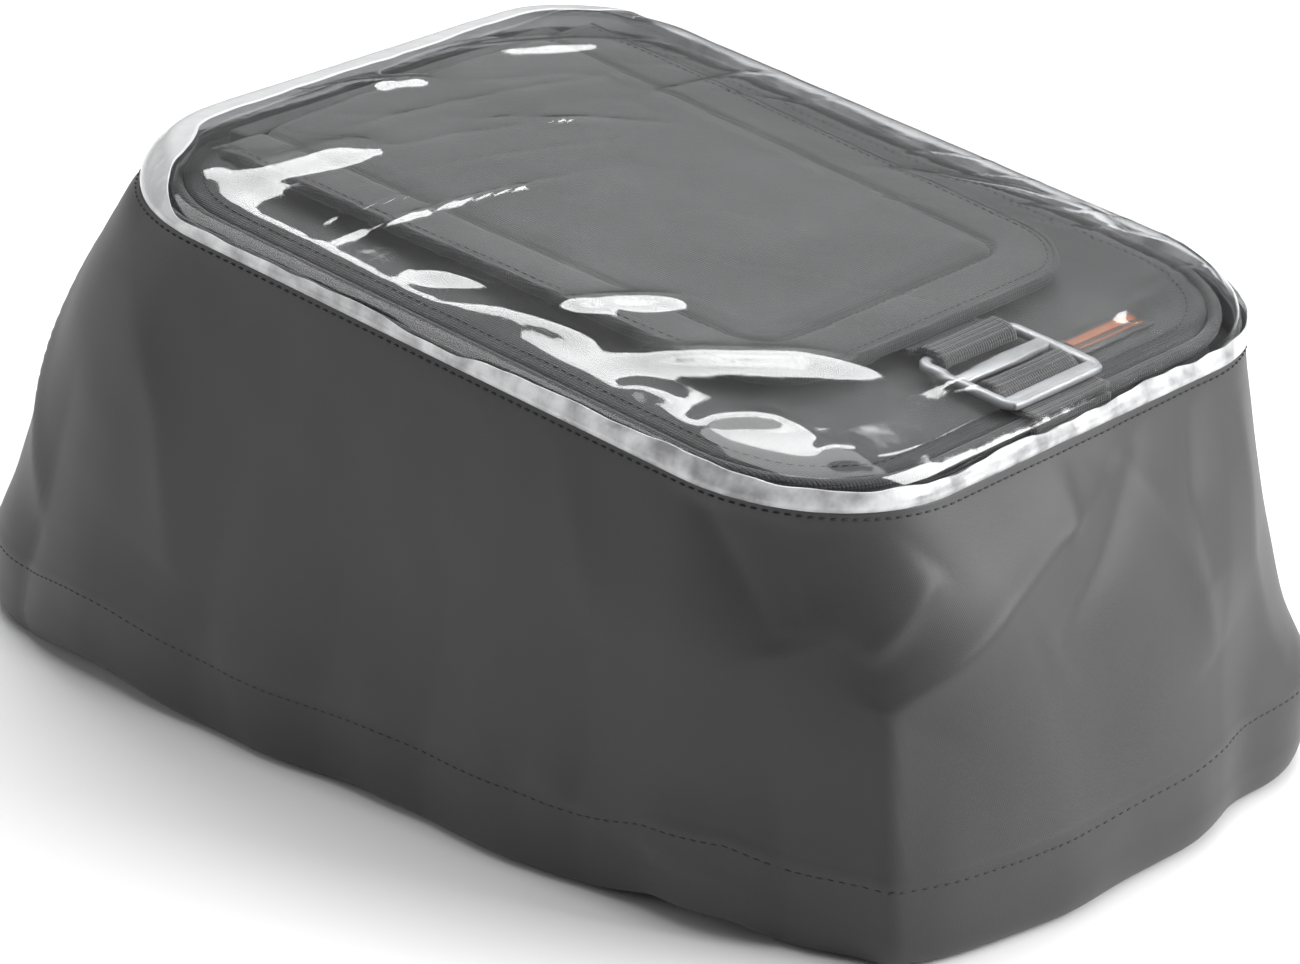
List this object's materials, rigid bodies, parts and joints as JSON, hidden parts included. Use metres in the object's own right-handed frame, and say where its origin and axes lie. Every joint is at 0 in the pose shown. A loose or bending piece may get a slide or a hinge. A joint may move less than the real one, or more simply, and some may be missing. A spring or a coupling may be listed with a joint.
{
  "type": "motorcycle tank bag with rain cover",
  "caption": "Flap-top motorcycle tank bag on a quick-lock tank ring, inside a fitted fabric rain cover with a clear window, with a zipped lid, strap and hook buckle.",
  "frame": {"origin": "on the ground plane, under the middle of the rain cover's outline", "axes": "+Z up, -Y towards the rider, +Y towards the handlebars, +X to the right when seen from above with +Y up"},
  "size_m": [0.262, 0.442, 0.1842],
  "materials": {
    "cover_fabric": "coated woven nylon, satin",
    "clear_vinyl": "clear flexible vinyl, glossy and wrinkled",
    "bag_fabric": "coarse woven nylon, matt",
    "flap_fabric": "woven nylon, matt",
    "webbing": "ribbed webbing",
    "trim": "woven tape",
    "foam": "closed-cell foam with a non-slip face",
    "plastic": "moulded, fine texture",
    "buckle_metal": "satin plated wire and plate",
    "steel": "plain",
    "elastic": "covered elastic",
    "badge": "moulded, matt"
  },
  "bodies": {
    "bag": {"base_pad": "foam", "base_panel": "bag_fabric", "base_board": "plastic", "bars_end_panel": "bag_fabric", "left_side_panel": "bag_fabric", "rider_end_panel": "bag_fabric", "right_side_panel": "bag_fabric", "lower_piping": "trim", "upper_piping": "trim", "top_panel": "bag_fabric", "zip_body_half": "trim", "lid_hinge_tape": "trim", "flap_hinge_strip": "bag_fabric", "rider_strap_lower": "webbing", "strap_anchor_patch": "trim", "plain_badge": "badge", "tank_ring": "plastic", "lock_spring_left": "steel", "lock_spring_right": "steel", "ring_screw_1": "steel", "ring_screw_2": "steel", "ring_screw_3": "steel", "ring_screw_4": "steel", "backing_plate": "plastic"},
    "rain_cover": {"cover_bars_panel": "cover_fabric", "cover_left_panel": "cover_fabric", "cover_rider_panel": "cover_fabric", "cover_right_panel": "cover_fabric", "cover_window": "clear_vinyl", "cover_seam_tape": "trim", "cover_hem_fold": "cover_fabric", "cover_hem_elastic": "elastic"},
    "flap": {"flap_lining": "bag_fabric", "flap_outer": "flap_fabric", "flap_map_panel": "flap_fabric", "flap_binding": "trim", "flap_strap": "webbing"},
    "lid": {"zip_lid": "bag_fabric", "zip_lid_half": "trim"},
    "slider": {"zip_slider": "steel"},
    "pull": {"zip_pull": "steel"},
    "buckle": {"hook_buckle": "buckle_metal", "rider_strap_upper": "webbing"},
    "lock": {"lock_bolt": "plastic", "lock_pull_tab": "webbing"}
  },
  "joints": [
    {"name": "cover_lift", "type": "slide", "parent": "bag", "child": "rain_cover", "axis": [0, 0, 1], "range_m": [0, 0.6]},
    {"name": "flap_open", "type": "hinge", "parent": "bag", "child": "flap", "pos_m": [0, 0.09215, 0.17862], "axis": [-1, 0, 0], "range_deg": [0, 110]},
    {"name": "lid_open", "type": "hinge", "parent": "bag", "child": "lid", "pos_m": [0, 0.0801, 0.16893], "axis": [-1, 0, 0], "range_deg": [0, 65]},
    {"name": "zip_run", "type": "slide", "parent": "lid", "child": "slider", "axis": [0, 0.9934, 0.1144], "range_m": [-0.12, 0]},
    {"name": "pull_turn", "type": "hinge", "parent": "slider", "child": "pull", "pos_m": [0.05955, 0.0515, 0.16814], "axis": [-1, 0, 0], "range_deg": [0, 40]},
    {"name": "buckle_swing", "type": "hinge", "parent": "bag", "child": "buckle", "pos_m": [0, -0.1723, 0.14097], "axis": [1, 0, 0], "range_deg": [0, 100]},
    {"name": "ring_release", "type": "slide", "parent": "bag", "child": "lock", "axis": [0, -1, 0], "range_m": [0, 0.005], "stiffness_N_per_m": 300, "springref_m": -0.004, "deforming": ["lock_spring_left", "lock_spring_right"]}
  ],
  "couplings": [
    {"joint": "flap_open", "follows": "cover_lift", "rad_per_m": 3.1969},
    {"joint": "lid_open", "follows": "cover_lift", "rad_per_m": 1.8879},
    {"joint": "pull_turn", "follows": "cover_lift", "rad_per_m": 1.1606},
    {"joint": "buckle_swing", "follows": "cover_lift", "rad_per_m": 2.906}
  ]
}
